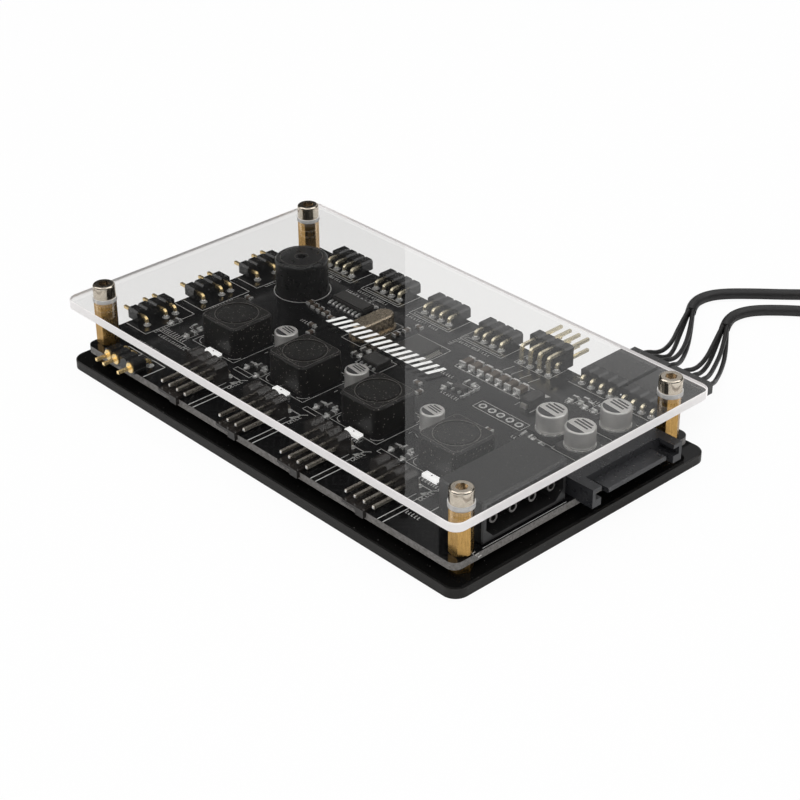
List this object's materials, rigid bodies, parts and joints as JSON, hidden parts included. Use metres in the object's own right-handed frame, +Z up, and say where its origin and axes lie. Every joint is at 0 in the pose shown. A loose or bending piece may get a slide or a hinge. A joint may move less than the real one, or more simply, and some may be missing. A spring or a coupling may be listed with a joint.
{
  "type": "pc fan controller hub",
  "caption": "Fan and lighting hub: black circuit board with pin headers, coils and power connectors between a glossy base and a clear cover on brass posts, with short wired leads.",
  "frame": {"origin": "centre of the base plate's underside, where it rests on the desk", "axes": "+X along the long side towards the two power connectors, +Y across towards the side with the leads, +Z up"},
  "size_m": [0.1485, 0.1502, 0.0194],
  "materials": {
    "base_black": "polished",
    "black_plastic": "satin moulded",
    "board_mask": "black satin",
    "brass": "turned",
    "can_metal": "satin",
    "ceramic_tan": "ceramic",
    "chip_black": "moulded",
    "clear_sheet": "clear polished sheet",
    "coil_grey": "moulded powder",
    "crystal_metal": "satin",
    "gold_pins": "gold plated",
    "lamp_white": "lens",
    "nickel": "nickel plated",
    "silver_pins": "tinned",
    "wire_black": "insulation"
  },
  "bodies": {
    "root": {"back_socket_pins": "gold_pins", "back_sockets": "black_plastic", "base_plate": "base_black", "base_screws": "nickel", "board_spacers": "brass", "buzzer": "black_plastic", "cable_a": "wire_black", "cable_b": "wire_black", "chip_capacitors": "ceramic_tan", "chip_resistors": "chip_black", "circuit_board": "board_mask", "clear_cover": "clear_sheet", "coil_1": "coil_grey", "coil_2": "coil_grey", "coil_3": "coil_grey", "coil_4": "coil_grey", "cover_posts": "brass", "cover_screws": "nickel", "crystal": "crystal_metal", "diode": "chip_black", "double_header": "black_plastic", "double_header_pins": "gold_pins", "drive_connector": "black_plastic", "drive_connector_pins": "silver_pins", "driver_chip": "chip_black", "fan_header_1": "black_plastic", "fan_header_2": "black_plastic", "fan_header_3": "black_plastic", "fan_header_4": "black_plastic", "fan_pins_1": "silver_pins", "fan_pins_2": "silver_pins", "fan_pins_3": "silver_pins", "fan_pins_4": "silver_pins", "flat_connector": "black_plastic", "flat_connector_contacts": "gold_pins", "front_strip": "black_plastic", "front_strip_pins": "gold_pins", "lamps": "lamp_white", "large_can_bases": "black_plastic", "large_cans": "can_metal", "lead_end_a": "black_plastic", "lead_end_b": "black_plastic", "lead_header_pins": "gold_pins", "lead_headers": "black_plastic", "lead_plug_a": "black_plastic", "lead_plug_b": "black_plastic", "processor": "chip_black", "side_strip_pins": "gold_pins", "side_strips": "black_plastic", "small_can_bases": "black_plastic", "small_cans": "can_metal", "transistor": "chip_black", "wire_a1": "wire_black", "wire_a2": "wire_black", "wire_a3": "wire_black", "wire_a4": "wire_black", "wire_b1": "wire_black", "wire_b2": "wire_black", "wire_b3": "wire_black", "wire_b4": "wire_black"}
  },
  "joints": []
}
